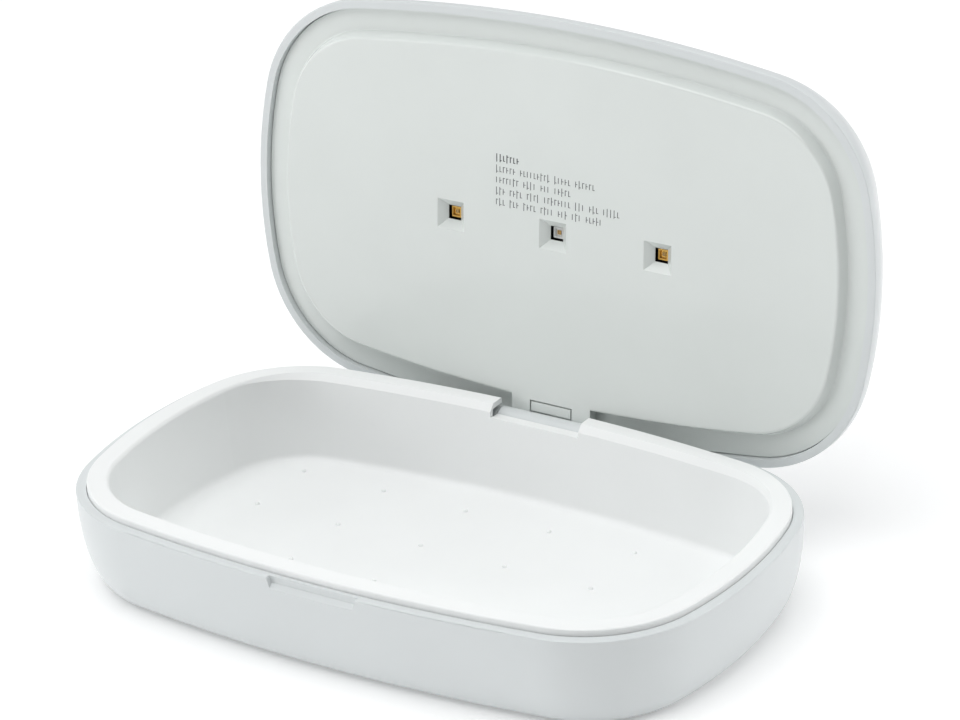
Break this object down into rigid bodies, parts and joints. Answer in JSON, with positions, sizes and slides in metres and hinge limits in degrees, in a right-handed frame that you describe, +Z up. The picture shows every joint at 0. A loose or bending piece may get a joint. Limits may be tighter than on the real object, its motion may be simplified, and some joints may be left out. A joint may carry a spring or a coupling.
{
  "type": "toothbrush sanitizer",
  "caption": "Rounded rectangular ultraviolet sanitizer box with a hinged lid, lamp windows in the lid liner and a nubbed tub, shown open.",
  "frame": {"origin": "centre of the base shell's flat underside", "axes": "+X along the long side, +Y towards the hinge, +Z up from the base; the lid stands open at rest"},
  "size_m": [0.22, 0.1642, 0.1553],
  "materials": {
    "outer_plastic": "white moulded plastic, satin sheen",
    "tub_plastic": "white moulded plastic, fine satin texture",
    "liner_plastic": "white moulded plastic, polished",
    "foot_rubber": "soft grey rubber",
    "screw_steel": "zinc-plated steel",
    "pin_steel": "ground steel tube",
    "socket_steel": "drawn steel shell",
    "black_plastic": "black moulded plastic",
    "circuit_board": "green solder mask",
    "dark_board": "black solder mask",
    "lead_sheath": "insulated flexible lead",
    "magnet_plating": "nickel plating",
    "gold_plating": "gold-plated lamp package",
    "white_ceramic": "white ceramic lamp package",
    "led_die": "lamp die",
    "ferrite": "pressed ferrite",
    "capacitor_can": "aluminium can",
    "diffuser": "milky light guide"
  },
  "bodies": {
    "base": {"base_shell": "outer_plastic", "base_tub": "tub_plastic", "rubber_feet": "foot_rubber", "base_screws": "screw_steel", "screw_plugs": "outer_plastic", "hinge_pin": "pin_steel", "inlet_board": "circuit_board", "usb_socket": "socket_steel", "usb_tongue": "black_plastic", "base_lead": "lead_sheath", "latch_magnet": "magnet_plating"},
    "lid": {"lid_shell": "outer_plastic", "hinge_cover": "liner_plastic", "lid_liner": "liner_plastic", "led_board": "dark_board", "led_board_screws": "screw_steel", "uv_led_left": "gold_plating", "uv_led_centre": "white_ceramic", "uv_led_right": "gold_plating", "uv_chips": "led_die", "main_board": "circuit_board", "main_board_screws": "screw_steel", "control_chip": "black_plastic", "boost_inductor": "ferrite", "capacitors": "capacitor_can", "button_switch": "black_plastic", "light_ring": "diffuser", "status_leds": "diffuser", "latch_plate": "screw_steel", "lid_sensor": "black_plastic", "lid_lead": "lead_sheath", "led_leads": "lead_sheath"},
    "button": {"start_button": "outer_plastic"}
  },
  "joints": [
    {"name": "lid_hinge", "type": "hinge", "parent": "base", "child": "lid", "pos_m": [0, 0.0629, 0.0256], "axis": [1, 0, 0], "range_deg": [0, 95]},
    {"name": "start_button", "type": "slide", "parent": "lid", "child": "button", "axis": [0, -0.9962, 0.0872], "range_m": [0, 0.0005], "stiffness_N_per_m": 400}
  ]
}
